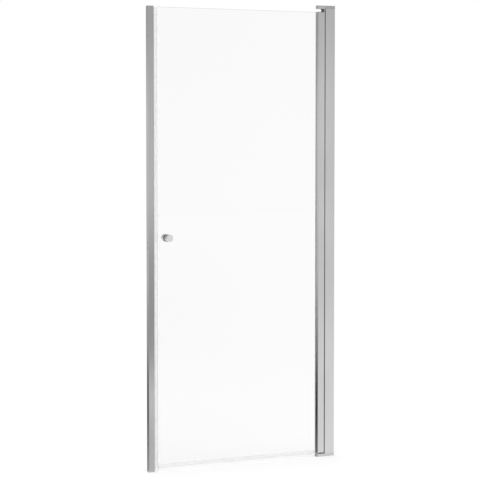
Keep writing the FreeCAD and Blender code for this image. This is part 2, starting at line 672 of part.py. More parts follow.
def door_top_bush():
    bottom = BUSH_TOP - BUSH_LENGTH
    return tube(PIVOT_X, PIVOT_Y, JOURNAL_RADIUS + RUNNING, BARREL_BORE - SNUG, bottom, BUSH_TOP)


# Door: hinge profile and its end caps

CAP_PORTS = (
    (HINGE_LEFT + CAP_SCREW_IN, HINGE_FRONT + CAP_SCREW_BACK),
    (GLAZING_END + CAP_SCREW_PAST, CAP_SCREW_Y),
)


def hinge_plan():
    """Outline of the hinge profile: rounded nose, slot for the glass, barrel round the pivot."""
    body = rounded_face([
        (HINGE_LEFT, HINGE_FRONT, HINGE_NOSE), (HINGE_RIGHT, HINGE_FRONT),
        (PIVOT_X, PIVOT_Y), (PIVOT_X, PIVOT_Y + BARREL_RADIUS),
        (GLAZING_END + HINGE_WALL + SHOULDER, HINGE_REAR, SHOULDER_ROUND),
        (HINGE_LEFT, HINGE_REAR, HINGE_REAR_ROUND),
    ])
    in_front = rectangle(PIVOT_X - BARREL_RADIUS - OVERCUT, PIVOT_X + BARREL_RADIUS + OVERCUT,
                         HINGE_FRONT - BARREL_RADIUS, HINGE_FRONT)
    barrel = disc(PIVOT_X, PIVOT_Y, BARREL_RADIUS).cut(in_front)
    slot = rectangle(HINGE_LEFT - OVERCUT, GLAZING_END, -GLAZING_HALF, GLAZING_HALF)
    return joined([body, barrel]).cut([slot, disc(PIVOT_X, PIVOT_Y, BARREL_BORE)])


def hinge_profile():
    left = HINGE_LEFT + CAP_SCREW_IN + SCREW_RADIUS + HINGE_WALL
    right = PIVOT_X - BARREL_BORE - BORE_WALL
    front = HINGE_FRONT + HINGE_WALL
    rear = -GLAZING_HALF - HINGE_WALL
    chamber = rounded_face([
        (left, front, CHAMBER_CORNER), (right, front, CHAMBER_CORNER),
        (right, rear, CHAMBER_CORNER), (left, rear, CHAMBER_CORNER),
    ])
    cutters = [chamber] + [disc(x, y, SCREW_RADIUS + SNUG) for x, y in CAP_PORTS]
    return prism(hinge_plan().cut(cutters), HINGE_BOTTOM + HINGE_CAP, DOOR_TOP - HINGE_CAP)


def door_cap(bottom):
    holes = [disc(x, y, SCREW_RADIUS + SCREW_PLAY) for x, y in CAP_PORTS]
    return prism(hinge_plan().cut(holes), bottom, bottom + HINGE_CAP)


def door_cap_screws():
    """Pan head screws, two through each end cap into the hinge profile."""
    screws = []
    for x, y in CAP_PORTS:
        for face, outward in ((DOOR_TOP, 1), (HINGE_BOTTOM, -1)):
            head = Part.makeCylinder(PAN_HEAD, SCREW_HEAD_HEIGHT, at(x, y, face), at(0, 0, outward))
            shank = Part.makeCylinder(SCREW_RADIUS, SCREW_LENGTH, at(x, y, face), at(0, 0, -outward))
            screws.append(head.fuse(shank))
    return Part.makeCompound(screws)


def glazing_gasket():
    outer = rectangle(HINGE_LEFT + GASKET_SETBACK, GLAZING_END, -GLAZING_HALF, GLAZING_HALF)
    section = outer.cut(rectangle(HINGE_LEFT, GLASS_RIGHT, -GLASS_FACE, GLASS_FACE))
    return prism(section, HINGE_BOTTOM + HINGE_CAP, DOOR_TOP - HINGE_CAP)


# Door: glass and seals

def glass_pane():
    pane = block(GLASS_LEFT, GLASS_RIGHT, -GLASS_FACE, GLASS_FACE, GLASS_BOTTOM, DOOR_TOP)
    rims = [edge for edge in pane.Edges if abs(abs(edge.CenterOfMass.y) - GLASS_FACE) < TOUCHING]
    pane = pane.makeChamfer(GLASS_ARRIS, rims)
    return pane.cut(cross_rod(KNOB_X, KNOB_Z, GLASS_HOLE, -GLASS_THICKNESS, GLASS_THICKNESS))


def door_magnet_seal():
    """Soft seal gripping the free edge of the glass, with a pocket for the magnet."""
    leg_end = GLASS_LEFT + SEAL_LEG_LENGTH
    half = GLASS_FACE + SEAL_LEG
    grip = rectangle(GLASS_LEFT - SEAL_SKIN / 2, leg_end, -half, half)
    glass = rectangle(GLASS_LEFT, leg_end + OVERCUT, -GLASS_FACE, GLASS_FACE)
    section = joined([seal_head(DOOR_SEAL_FACE), grip]).cut([glass, magnet_pocket(DOOR_SEAL_FACE)])
    return prism(section, BOTTOM_SEAL_TOP, DOOR_TOP)


def bottom_seal():
    """Soft strip under the glass with a wiper that hangs down and a fin that sheds drips inside."""
    half = GLASS_FACE + SEAL_LEG
    web = GLASS_BOTTOM - SEAL_LEG
    strip = rectangle(-half, half, web, BOTTOM_SEAL_TOP)
    grip = strip.cut(rectangle(-GLASS_FACE, GLASS_FACE, GLASS_BOTTOM, BOTTOM_SEAL_TOP + OVERCUT))
    wiper = rounded_face([
        (-WIPER_ROOT / 2, web + SEAL_BITE), (-WIPER_EDGE / 2, BOTTOM_SEAL_TIP),
        (WIPER_EDGE / 2, BOTTOM_SEAL_TIP), (WIPER_ROOT / 2, web + SEAL_BITE),
    ])
    fin_tip = GLASS_BOTTOM - FIN_DROP
    fin = rounded_face([
        (half - SEAL_BITE, GLASS_BOTTOM + FIN_ROOT), (half - SEAL_BITE, GLASS_BOTTOM),
        (half + FIN_REACH, fin_tip), (half + FIN_REACH + FIN_EDGE / 2, fin_tip + FIN_EDGE),
    ])
    seal = joined([grip, wiper, fin]).extrude(at(0, 0, HINGE_LEFT - BOTTOM_SEAL_END - GLASS_LEFT))
    seal.Placement = FreeCAD.Placement(at(GLASS_LEFT, 0), ALONG_X)
    return seal


def bottom_seal_end():
    """Soft block that closes the corner under the door's magnet seal."""
    return prism(seal_head(DOOR_SEAL_FACE), BOTTOM_SEAL_TIP + SEAL_END_LIFT, BOTTOM_SEAL_TOP)


# Door: knobs

def knob():
    """One knob turned about Y, on the +Y side of the glass, with its axis through the origin."""
    bore = STUD_RADIUS + SNUG
    bore_end = STUD_HALF + STUD_SPARE
    half_section = rounded_face([
        (bore, KNOB_FOOT), (KNOB_RADIUS - KNOB_FOOT_CHAMFER, KNOB_FOOT),
        (KNOB_RADIUS, KNOB_FOOT + KNOB_FOOT_CHAMFER), (KNOB_RADIUS, KNOB_END - KNOB_CHAMFER),
        (KNOB_RADIUS - KNOB_CHAMFER, KNOB_END), (0, KNOB_END), (0, bore_end), (bore, bore_end),
    ])
    return half_section.revolve(at(0, 0), Y_AXIS, 360)


def inner_knob():
    body = knob()
    grub_start = at(0, KNOB_FOOT + GRUB_FROM_FOOT)
    body = body.cut(Part.makeCylinder(GRUB_RADIUS + SNUG, KNOB_RADIUS, grub_start, -Z_AXIS))
    body.translate(at(KNOB_X, 0, KNOB_Z))
    return body


def outer_knob():
    body = knob()
    body.rotate(at(0, 0), Z_AXIS, 180)
    body.translate(at(KNOB_X, 0, KNOB_Z))
    return body


def knob_grub_screw():
    top = KNOB_Z - STUD_RADIUS - SNUG
    length = KNOB_RADIUS - GRUB_RECESS - STUD_RADIUS
    return Part.makeCylinder(GRUB_RADIUS, length, at(KNOB_X, KNOB_FOOT + GRUB_FROM_FOOT, top), -Z_AXIS)


def knob_stud():
    return cross_rod(KNOB_X, KNOB_Z, STUD_RADIUS, -STUD_HALF, STUD_HALF)


def ring(inner, outer, y0, y1):
    return cross_rod(KNOB_X, KNOB_Z, outer, y0, y1).cut(cross_rod(KNOB_X, KNOB_Z, inner, y0, y1))


def knob_sleeve():
    return ring(STUD_RADIUS + SNUG, GLASS_HOLE - SNUG, -GLASS_FACE, GLASS_FACE)


def knob_washers():
    inner = STUD_RADIUS + SNUG
    outer = KNOB_RADIUS + KNOB_WASHER_PROUD
    return Part.makeCompound([ring(inner, outer, y, y + KNOB_WASHER) for y in (GLASS_FACE, -KNOB_FOOT)])


# One file for each piece

os.makedirs("parts", exist_ok=True)

write("strike_wall_channel", strike_wall_channel())
write("strike_profile", strike_profile())
write("strike_magnet_seal", strike_magnet_seal())
write("strike_magnet_strip", magnet(STRIKE_FACE, STRIKE_FOOT, STRIKE_METAL_TOP))
write("strike_top_cap", strike_top_cap())
write("strike_bottom_cap", strike_bottom_cap())
write("strike_clamp_screws", clamp_screws(STRIKE_CLAMP_X, STRIKE_REAR))
write("strike_screw_covers", screw_covers(STRIKE_CLAMP_X, STRIKE_REAR))

write("hinge_wall_channel", hinge_wall_channel())
write("hinge_post_profile", hinge_post_profile())
write("hinge_lip_seal", hinge_lip_seal())
write("post_clamp_screws", clamp_screws(POST_CLAMP_X, POST_REAR))
write("post_screw_covers", screw_covers(POST_CLAMP_X, POST_REAR))
write("top_pivot_bracket", top_pivot_bracket())
write("top_bracket_screws", bracket_screws(TOP_BLOCK, -1, TOP_BLOCK - TOP_BRACKET_BOTTOM))
write("post_top_cap", post_top_cap())
write("bottom_pivot_bracket", bottom_pivot_bracket())
write("bottom_bracket_screws", bracket_screws(0, 1, BOTTOM_BRACKET))

write("bottom_pivot_pin", bottom_pivot_pin())
write("fixed_lift_cam", fixed_lift_cam())
write("door_lift_cam", door_lift_cam())
write("top_pin_guide", top_pin_guide())
write("top_pivot_pin", top_pivot_pin())
write("top_thrust_washer", top_thrust_washer())
write("door_top_bush", door_top_bush())

write("hinge_profile", hinge_profile())
write("door_top_cap", door_cap(DOOR_TOP - HINGE_CAP))
write("door_bottom_cap", door_cap(HINGE_BOTTOM))
write("door_cap_screws", door_cap_screws())
write("glazing_gasket", glazing_gasket())
write("glass_pane", glass_pane())
write("door_magnet_seal", door_magnet_seal())
write("door_magnet_strip", magnet(DOOR_SEAL_FACE, BOTTOM_SEAL_TOP, DOOR_TOP))
write("bottom_seal", bottom_seal())
write("bottom_seal_end", bottom_seal_end())

write("outer_knob", outer_knob())
write("inner_knob", inner_knob())
write("knob_grub_screw", knob_grub_screw())
write("knob_stud", knob_stud())
write("knob_sleeve", knob_sleeve())
write("knob_washers", knob_washers())
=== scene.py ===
import json
import math

import bmesh
import bpy
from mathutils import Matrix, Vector


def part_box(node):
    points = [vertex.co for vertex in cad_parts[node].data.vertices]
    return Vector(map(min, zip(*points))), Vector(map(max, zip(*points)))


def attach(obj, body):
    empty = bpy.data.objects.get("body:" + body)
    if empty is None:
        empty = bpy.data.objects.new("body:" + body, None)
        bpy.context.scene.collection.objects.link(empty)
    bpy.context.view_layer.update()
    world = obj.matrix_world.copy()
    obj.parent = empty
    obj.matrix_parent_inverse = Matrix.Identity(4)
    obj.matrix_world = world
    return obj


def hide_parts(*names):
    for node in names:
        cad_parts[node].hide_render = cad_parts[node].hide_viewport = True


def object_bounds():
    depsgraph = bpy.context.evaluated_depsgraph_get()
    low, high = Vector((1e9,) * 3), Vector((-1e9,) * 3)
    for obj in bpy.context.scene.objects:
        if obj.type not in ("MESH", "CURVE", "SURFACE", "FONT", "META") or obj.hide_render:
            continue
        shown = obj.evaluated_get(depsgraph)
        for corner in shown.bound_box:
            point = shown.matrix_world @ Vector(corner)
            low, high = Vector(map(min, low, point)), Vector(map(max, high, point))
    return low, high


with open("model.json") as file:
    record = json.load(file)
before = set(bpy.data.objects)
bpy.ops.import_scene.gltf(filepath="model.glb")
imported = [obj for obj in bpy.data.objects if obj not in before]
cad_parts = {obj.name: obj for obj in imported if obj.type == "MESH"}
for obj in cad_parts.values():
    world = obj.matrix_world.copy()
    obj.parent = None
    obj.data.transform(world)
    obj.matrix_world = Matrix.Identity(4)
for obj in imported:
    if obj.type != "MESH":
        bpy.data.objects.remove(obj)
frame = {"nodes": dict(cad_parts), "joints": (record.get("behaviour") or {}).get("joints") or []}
nodes = frame["nodes"]
cad_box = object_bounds()

# Lengths are in metres. Camera, fitted to the upright and level edges of the photograph
IMAGE_SIZE = 480
SENSOR_WIDTH = 36.0
FOCAL_PIXELS = 1791.7
CAMERA_PLACE = (-3.4477, -6.7336, 1.4162)
CAMERA_YAW = 27.034    # degrees to the right of +Y
CAMERA_PITCH = 3.049   # degrees downwards
CAMERA_SHIFT = -0.03   # as a share of the picture's height

# Light levels, where 1 is white
SKY_LEVEL = 0.92       # what the white room gives to matt surfaces
KEY_POWER = 40.0       # watts of the soft lamp at the front left
KEY_SIZE = 2.4
KEY_PLACE = (-2.6, -3.4, 4.2)
FLOOR_COLOUR = 0.95
FLOOR_SHARE = 0.5      # share of the floor that glows where it is seen
FLOOR_GLOW = 1.14
FLOOR_SIZE = 40.0
FLOOR_DROP = 0.0004    # below the feet of the door

# Room that gloss mirrors. By rise: degrees above the level and brightness.
# By turn: degrees to the right of the front and share; LEVEL_BY_TURN dims the walls.
PALE_BY_RISE = (
    (-90, 1.0), (-11.5, 1.0), (-7.5, 0.92), (-4.0, 0.8), (0.0, 0.79), (4.0, 0.66), (90, 0.66),
)
DARK_BY_RISE = (
    (-90, 1.0), (-13.0, 1.0), (-10.4, 0.25), (-9.2, 0.03), (-8.2, 0.06), (-6.6, 0.4), (-4.5, 0.7),
    (0.0, 0.8), (4.0, 0.5), (90, 0.5),
)
PANEL_BY_RISE = (
    (-90, 1.0), (-13.0, 0.9), (-10.0, 0.6), (-8.4, 0.78), (-7.2, 0.42), (-5.0, 0.42), (-2.0, 0.68),
    (4.0, 0.53), (90, 0.5),
)
LEVEL_BY_TURN = ((-180, 0.55), (-150, 0.9), (0, 1.0), (30, 1.0), (75, 0.92), (120, 0.72), (180, 0.55))
DARK_BY_TURN = ((-180, 0.0), (-162, 0.6), (-150, 1.0), (-20, 1.0), (18, 0.0), (180, 0.0))
PANEL_BY_TURN = ((-180, 0.0), (10, 0.0), (18, 1.0), (25.5, 1.0), (28.5, 0.0), (180, 0.0))

# Glass, with a ground edge that shows as a thin grey line
ARRIS = 0.0012         # down from the top
ARRIS_FULL = 0.8       # share of its depth that has the full tint
ARRIS_COLOUR = (0.50, 0.57, 0.53, 1.0)
PANE_COLOUR = (0.975, 0.98, 0.977, 1.0)

# Fineness of lines, grain and clouds along X, Y and Z, for each metre
PLAIN_METRES = (1.0, 1.0, 1.0)
DRAW_LINES = (1400.0, 1400.0, 3.0)
DRAW_CLOUDS = (14.0, 14.0, 3.5)
CAST_GRAIN = (900.0, 900.0, 900.0)
CAST_CLOUDS = (60.0, 60.0, 60.0)
WIPE_MARKS = (160.0, 90.0, 160.0)
STEEL_LINES = (700.0, 700.0, 2600.0)
GLASS_SMEARS = (5.0, 5.0, 9.0)
ROLLER_WAVES = (3.0, 3.0, 1.2)
UPRIGHT_LINES = (1500.0, 1500.0, 5.0)
LEVEL_LINES = (5.0, 1500.0, 1500.0)
SEAL_MILK = (18.0, 18.0, 18.0)
SPARK_GRAIN = (2600.0, 2600.0, 2600.0)
FLOW_MARKS = (90.0, 90.0, 60.0)
RUBBER_LINES = (1800.0, 1800.0, 12.0)
RUBBER_DUST = (45.0, 45.0, 20.0)

# How far tone and roughness stray within a surface
TONES = (0.92, 1.08)   # shares of the colour
KNOB_TONES = (0.97, 1.02)
KNOB_WEAR = (0.7, 1.4)  # shares of the roughness
PLASTIC_WEAR = 0.07    # roughness added and taken away
NOISE_LOW = 0.3        # range of a noise that is stretched out
NOISE_HIGH = 0.7

# Share of the lamps' light that passes glass and seals
LAMPS_THROUGH = 0.96

# Screws drawn in detail
SCREW_SIDES = 36
PAN_RADIUS = 0.003
PAN_HEIGHT = 0.002
PAN_SHANK = 0.0018
PAN_TIP = 0.6          # share of the shank's radius
PAN_CROWN = ((1.0, 0.0), (1.0, 0.55), (0.93, 0.85), (0.8, 1.0))  # shares of the head's radius and height
PAN_SOCKET = 0.00125   # half the width across flats
PAN_SOCKET_DEPTH = 0.0012
GRUB_SOCKET = 0.001
GRUB_SOCKET_DEPTH = 0.0022
GRUB_LEAD = 0.0004
THREAD_PITCH = 0.0007
THREAD_DEPTH = 0.00035

# Soft dark bead in the hinge gap, partly a rubber seal and partly painted shade for the gap
BEAD_CLEAR = 0.00035   # between the bead and the turning hinge profile
BEAD_LAP = 0.0012      # onto the front of the post
BEAD_PROUD = 0.0003    # in front of the post
BEAD_STEPS = 8         # sides of each rounding


# Small helpers for node materials

def add(tree, kind, **settings):
    node = tree.nodes.new("ShaderNode" + kind)
    for name, value in settings.items():
        setattr(node, name, value)
    return node


def new_material(name):
    made = bpy.data.materials.new(name)
    made.use_nodes = True
    return made, made.node_tree, made.node_tree.nodes["Principled BSDF"]


def grey(level):
    return (level, level, level, 1.0)


def set_inputs(node, **values):
    for name, value in values.items():
        node.inputs[name.replace("_", " ")].default_value = value


def coordinates(tree, scale, centre=(0.0, 0.0, 0.0)):
    """Places on the piece in metres, measured from a centre and then scaled."""
    source = add(tree, "TexCoord")
    moved = add(tree, "VectorMath", operation="SUBTRACT")
    moved.inputs[1].default_value = centre
    scaled = add(tree, "VectorMath", operation="MULTIPLY")
    scaled.inputs[1].default_value = scale
    tree.links.new(source.outputs["Object"], moved.inputs[0])
    tree.links.new(moved.outputs[0], scaled.inputs[0])
    return scaled.outputs[0]


def noise(tree, scale, detail=2.0, centre=(0.0, 0.0, 0.0)):
    made = add(tree, "TexNoise")
    set_inputs(made, Scale=1.0, Detail=detail, Roughness=0.55)
    tree.links.new(coordinates(tree, scale, centre), made.inputs["Vector"])
    return made.outputs["Fac"]


def spread(tree, value, low, high):
    """A noise or a mask stretched over the range from low to high."""
    made = add(tree, "MapRange")
    set_inputs(made, From_Min=NOISE_LOW, From_Max=NOISE_HIGH, To_Min=low, To_Max=high)
    tree.links.new(value, made.inputs["Value"])
    return made.outputs["Result"]


def vary_colour(tree, shader, value, low, high):
    mix = add(tree, "Mix", data_type="RGBA")
    mix.inputs["A"].default_value = low
    mix.inputs["B"].default_value = high
    tree.links.new(spread(tree, value, 0.0, 1.0), mix.inputs["Factor"])
    tree.links.new(mix.outputs["Result"], shader.inputs["Base Color"])


def vary_roughness(tree, shader, value, low, high):
    tree.links.new(spread(tree, value, low, high), shader.inputs["Roughness"])


def bump(tree, shader, value, strength, distance, edge=0.0):
    made = add(tree, "Bump")
    set_inputs(made, Strength=strength, Distance=distance)
    tree.links.new(value, made.inputs["Height"])
    if edge:
        eased = add(tree, "Bevel", samples=4)
        eased.inputs["Radius"].default_value = edge
        tree.links.new(eased.outputs["Normal"], made.inputs["Normal"])
    tree.links.new(made.outputs["Normal"], shader.inputs["Normal"])


def mirrored(tree, path):
    """1 for what gloss mirrors, 0 for what is seen through glass, which counts as gloss too."""
    made = add(tree, "Math", operation="SUBTRACT", use_clamp=True)
    tree.links.new(path.outputs["Is Glossy Ray"], made.inputs[0])
    tree.links.new(path.outputs["Is Transmission Ray"], made.inputs[1])
    return made.outputs[0]


def let_lamps_through(tree, shader):
    """Clear for light from the lamps and for what is mirrored in metal, the shader for all else."""
    path = add(tree, "LightPath")
    either = add(tree, "Math", operation="MAXIMUM")
    tree.links.new(path.outputs["Is Shadow Ray"], either.inputs[0])
    tree.links.new(mirrored(tree, path), either.inputs[1])
    through = add(tree, "BsdfTransparent")
    through.inputs["Color"].default_value = grey(LAMPS_THROUGH)
    mix = add(tree, "MixShader")
    tree.links.new(either.outputs[0], mix.inputs["Fac"])
    tree.links.new(shader.outputs["BSDF"], mix.inputs[1])
    tree.links.new(through.outputs["BSDF"], mix.inputs[2])
    tree.links.new(mix.outputs["Shader"], tree.nodes["Material Output"].inputs["Surface"])


# Materials of the door

def extruded_aluminium():
    """Bright aluminium with fine draw lines up the profile and slow clouds of tone."""
    made, tree, shader = new_material("extruded_aluminium")
    set_inputs(shader, Metallic=1.0)
    lines = noise(tree, DRAW_LINES, detail=3.0)
    clouds = noise(tree, DRAW_CLOUDS)
    vary_colour(tree, shader, clouds, low=grey(0.64), high=grey(0.69))
    vary_roughness(tree, shader, lines, low=0.045, high=0.085)
    bump(tree, shader, lines, strength=0.03, distance=0.0002, edge=0.0006)
    return made


def cast_aluminium():
    """Bracket metal, machined and polished, with no direction."""
    made, tree, shader = new_material("cast_aluminium")
    set_inputs(shader, Metallic=1.0)
    grain = noise(tree, CAST_GRAIN, detail=3.0)
    clouds = noise(tree, CAST_CLOUDS)
    vary_colour(tree, shader, clouds, low=grey(0.63), high=grey(0.70))
    vary_roughness(tree, shader, grain, low=0.18, high=0.28)
    bump(tree, shader, grain, strength=0.06, distance=0.0002, edge=0.0005)
    return made


def turned_metal(name, colour, roughness, ring_scale, centre):
    """Metal turned about a line along Y through the centre, with faint tool rings."""
    made, tree, shader = new_material(name)
    set_inputs(shader, Metallic=1.0)
    rings = add(tree, "TexWave", wave_type="RINGS", rings_direction="Y")
    set_inputs(rings, Scale=ring_scale, Distortion=0.4, Detail=1.0)
    tree.links.new(coordinates(tree, PLAIN_METRES, centre), rings.inputs["Vector"])
    wipe = noise(tree, WIPE_MARKS, detail=3.0, centre=centre)
    vary_colour(tree, shader, wipe, *[grey(colour * share) for share in KNOB_TONES])
    vary_roughness(tree, shader, wipe, *[roughness * share for share in KNOB_WEAR])
    bump(tree, shader, rings.outputs["Fac"], strength=0.03, distance=0.00005)
    return made


def drawn_steel(name, level):
    """Steel of screws and pins, with fine turning marks."""
    made, tree, shader = new_material(name)
    set_inputs(shader, Metallic=1.0)
    lines = noise(tree, STEEL_LINES)
    vary_colour(tree, shader, lines, *[grey(level * share) for share in TONES])
    vary_roughness(tree, shader, lines, low=0.18, high=0.32)
    bump(tree, shader, lines, strength=0.08, distance=0.0001)
    return made


def pane_glass(top):
    """Clear float glass: faint roller waves, wiped smears, and a ground edge along the top."""
    made, tree, shader = new_material("pane_glass")
    set_inputs(shader, IOR=1.5, Transmission_Weight=1.0)
    parts = add(tree, "SeparateXYZ")
    tree.links.new(coordinates(tree, PLAIN_METRES), parts.inputs[0])
    below = add(tree, "MapRange")
    set_inputs(below, From_Min=top - ARRIS_FULL * ARRIS, From_Max=top - ARRIS)
    tree.links.new(parts.outputs["Z"], below.inputs["Value"])
    vary_colour(tree, shader, below.outputs["Result"], low=ARRIS_COLOUR, high=PANE_COLOUR)
    smears = noise(tree, GLASS_SMEARS, detail=4.0)
    waves = noise(tree, ROLLER_WAVES, detail=1.0)
    vary_roughness(tree, shader, smears, low=0.0, high=0.025)
    bump(tree, shader, waves, strength=0.02, distance=0.002)
    let_lamps_through(tree, shader)
    return made


def clear_seal(name, along, body):
    """Clear soft plastic with die lines along the strip; body is how much of it is seen."""
    made, tree, shader = new_material(name)
    set_inputs(shader, IOR=1.4, Alpha=body)
    lines = noise(tree, along)
    milk = noise(tree, SEAL_MILK)
    vary_colour(tree, shader, milk, low=grey(0.95), high=grey(0.98))
    vary_roughness(tree, shader, lines, low=0.20, high=0.34)
    bump(tree, shader, lines, strength=0.08, distance=0.0002)
    let_lamps_through(tree, shader)
    return made


def moulded_plastic(name, level, roughness, grain_strength):
    """Moulded plastic with a fine spark grain and slight flow marks."""
    made, tree, shader = new_material(name)
    set_inputs(shader, IOR=1.48)
    grain = noise(tree, SPARK_GRAIN)
    flow = noise(tree, FLOW_MARKS)
    vary_colour(tree, shader, flow, *[grey(level * share) for share in TONES])
    vary_roughness(tree, shader, grain, low=roughness - PLASTIC_WEAR, high=roughness + PLASTIC_WEAR)
    bump(tree, shader, grain, strength=grain_strength, distance=0.0002, edge=0.0004)
    return made


def milky_magnet():
    """White magnet strip that the lamps shine through, so it stays light inside its seal."""
    made = moulded_plastic("white_magnet", level=0.92, roughness=0.5, grain_strength=0.08)
    let_lamps_through(made.node_tree, made.node_tree.nodes["Principled BSDF"])
    return made


def dark_rubber():
    """Extruded rubber, slightly dusty, with lines along its length."""
    made, tree, shader = new_material("dark_rubber")
    set_inputs(shader, Specular_IOR_Level=0.2)
    lines = noise(tree, RUBBER_LINES)
    dust = noise(tree, RUBBER_DUST, detail=4.0)
    vary_colour(tree, shader, dust, low=grey(0.012), high=grey(0.030))
    vary_roughness(tree, shader, dust, low=0.55, high=0.75)
    bump(tree, shader, lines, strength=0.15, distance=0.0002)
    return made


knob_low, knob_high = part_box("outer_knob")
knob_centre = (knob_low + knob_high) / 2

ALUMINIUM = extruded_aluminium()
BRACKET_METAL = cast_aluminium()
CHROME = turned_metal("satin_chrome", colour=0.97, roughness=0.30, ring_scale=900.0, centre=knob_centre)
STEEL = drawn_steel("drawn_steel", level=0.60)
# Steel at a dark level of 0.12, used only for the top pivot pin
DARK_STEEL = drawn_steel("dark_pin_steel", level=0.12)
GLASS = pane_glass(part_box("glass_pane")[1].z)
UPRIGHT_SEAL = clear_seal("upright_seal", along=UPRIGHT_LINES, body=0.05)
CLEAR_MAGNET = clear_seal("clear_magnet", along=UPRIGHT_LINES, body=0.08)
LEVEL_SEAL = clear_seal("level_seal", along=LEVEL_LINES, body=0.16)
GLAZING = clear_seal("glazing", along=UPRIGHT_LINES, body=0.5)
MAGNET = milky_magnet()
GREY_PLASTIC = moulded_plastic("grey_plastic", level=0.34, roughness=0.42, grain_strength=0.10)
PALE_PLASTIC = moulded_plastic("pale_plastic", level=0.52, roughness=0.42, grain_strength=0.10)
BEARING_PLASTIC = moulded_plastic("bearing_plastic", level=0.055, roughness=0.40, grain_strength=0.08)
RUBBER = dark_rubber()

FINISHES = {
    ALUMINIUM: ("strike_wall_channel", "strike_profile", "hinge_wall_channel", "hinge_post_profile",
                "hinge_profile"),
    BRACKET_METAL: ("top_pivot_bracket", "bottom_pivot_bracket"),
    CHROME: ("outer_knob", "inner_knob"),
    STEEL: ("strike_clamp_screws", "post_clamp_screws", "top_bracket_screws", "bottom_bracket_screws",
            "bottom_pivot_pin", "door_cap_screws", "knob_grub_screw", "knob_stud"),
    DARK_STEEL: ("top_pivot_pin",),
    GLASS: ("glass_pane",),
    UPRIGHT_SEAL: ("strike_magnet_seal", "door_magnet_seal"),
    LEVEL_SEAL: ("bottom_seal", "bottom_seal_end"),
    MAGNET: ("strike_magnet_strip",),
    CLEAR_MAGNET: ("door_magnet_strip",),
    GLAZING: ("glazing_gasket",),
    GREY_PLASTIC: ("strike_top_cap", "strike_screw_covers", "post_screw_covers", "post_top_cap",
                   "door_top_cap", "door_bottom_cap"),
    PALE_PLASTIC: ("strike_bottom_cap",),
    BEARING_PLASTIC: ("fixed_lift_cam", "door_lift_cam", "top_pin_guide", "top_thrust_washer",
                      "door_top_bush", "knob_sleeve"),
    RUBBER: ("hinge_lip_seal", "knob_washers"),
}

for finish, names in FINISHES.items():
    for name in names:
        nodes[name].data.materials.clear()
        nodes[name].data.materials.append(finish)


# Screws with sockets and threads

def ring_points(radius):
    turns = [math.tau * i / SCREW_SIDES for i in range(SCREW_SIDES)]
    return [(radius * math.cos(t), radius * math.sin(t)) for t in turns]


def hexagon_points(half_width):
    """As many points as a ring has, along the sides of a hexagon."""
    side = math.tau / 6
    points = []
    for i in range(SCREW_SIDES):
        turn = math.tau * i / SCREW_SIDES
        radius = half_width / math.cos(turn % side - side / 2)
        points.append((radius * math.cos(turn), radius * math.sin(turn)))
    return points


def screw_rings(outline, half_width, depth):
    """Rings of a screw from its tip to the floor of its socket; the outline ends at the head's face."""
    rings = [(ring_points(radius), height) for radius, height in outline]
    face = outline[-1][1]
    rings.append((hexagon_points(half_width), face))
    rings.append((hexagon_points(half_width), face - depth))
    return rings


def threaded(radius, start, end):
    """Outline of a thread's crests and roots from start to end."""
    count = round((end - start) / THREAD_PITCH)
    step = (end - start) / count
    outline = []
    for i in range(count):
        outline.append((radius - THREAD_DEPTH, start + i * step))
        outline.append((radius, start + (i + 0.5) * step))
    outline.append((radius - THREAD_DEPTH, end))
    return outline


def add_screw(mesh, rings, place, outward):
    """Skins the rings at a place, with the socket facing up or down."""
    skins = []
    for points, height in rings:
        skins.append([mesh.verts.new(place + Vector((x * outward, y, height * outward))) for x, y in points])
    mesh.faces.new(reversed(skins[0]))
    for lower, upper in zip(skins, skins[1:]):
        for i in range(SCREW_SIDES):
            j = (i + 1) % SCREW_SIDES
            mesh.faces.new((lower[i], lower[j], upper[j], upper[i]))
    mesh.faces.new(skins[-1])


def finish_piece(mesh, name, material, body):
    """Piece made of a finished mesh, riding on a body."""
    bmesh.ops.recalc_face_normals(mesh, faces=mesh.faces)
    data = bpy.data.meshes.new(name)
    mesh.to_mesh(data)
    mesh.free()
    data.materials.append(material)
    piece = bpy.data.objects.new(name, data)
    bpy.context.scene.collection.objects.link(piece)
    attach(piece, body)
    return piece


def cap_screws():
    """Pan heads on the end caps of the hinge profile, two above and two below."""
    low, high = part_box("door_cap_screws")
    cap_low, cap_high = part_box("door_top_cap")
    tip = cap_low.z - cap_high.z - PAN_SHANK
    outline = [(PAN_SHANK * PAN_TIP, tip)]
    outline += threaded(PAN_SHANK, tip + THREAD_PITCH, 0.0)
    outline += [(PAN_RADIUS * wide, PAN_HEIGHT * tall) for wide, tall in PAN_CROWN]
    rings = screw_rings(outline, PAN_SOCKET, PAN_SOCKET_DEPTH)
    mesh = bmesh.new()
    for x, y in ((low.x + PAN_RADIUS, low.y + PAN_RADIUS), (high.x - PAN_RADIUS, high.y - PAN_RADIUS)):
        add_screw(mesh, rings, Vector((x, y, high.z - PAN_HEIGHT)), 1)
        add_screw(mesh, rings, Vector((x, y, low.z + PAN_HEIGHT)), -1)
    piece = finish_piece(mesh, "cap_screws", STEEL, "door")
    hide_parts("door_cap_screws")


def grub_screw():
    """Set screw in the underside of the inner knob, its socket facing down."""
    low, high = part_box("knob_grub_screw")
    middle = (low + high) / 2
    radius = (high.x - low.x) / 2
    length = high.z - low.z
    outline = [(radius - 2 * GRUB_LEAD, 0.0)]
    outline += threaded(radius, 2 * GRUB_LEAD, length - GRUB_LEAD)
    outline.append((radius - 2 * GRUB_LEAD, length))
    rings = screw_rings(outline, GRUB_SOCKET, GRUB_SOCKET_DEPTH)
    mesh = bmesh.new()
    add_screw(mesh, rings, Vector((middle.x, middle.y, high.z)), -1)
    piece = finish_piece(mesh, "grub_screw", STEEL, "door")
    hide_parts("knob_grub_screw")


cap_screws()
grub_screw()
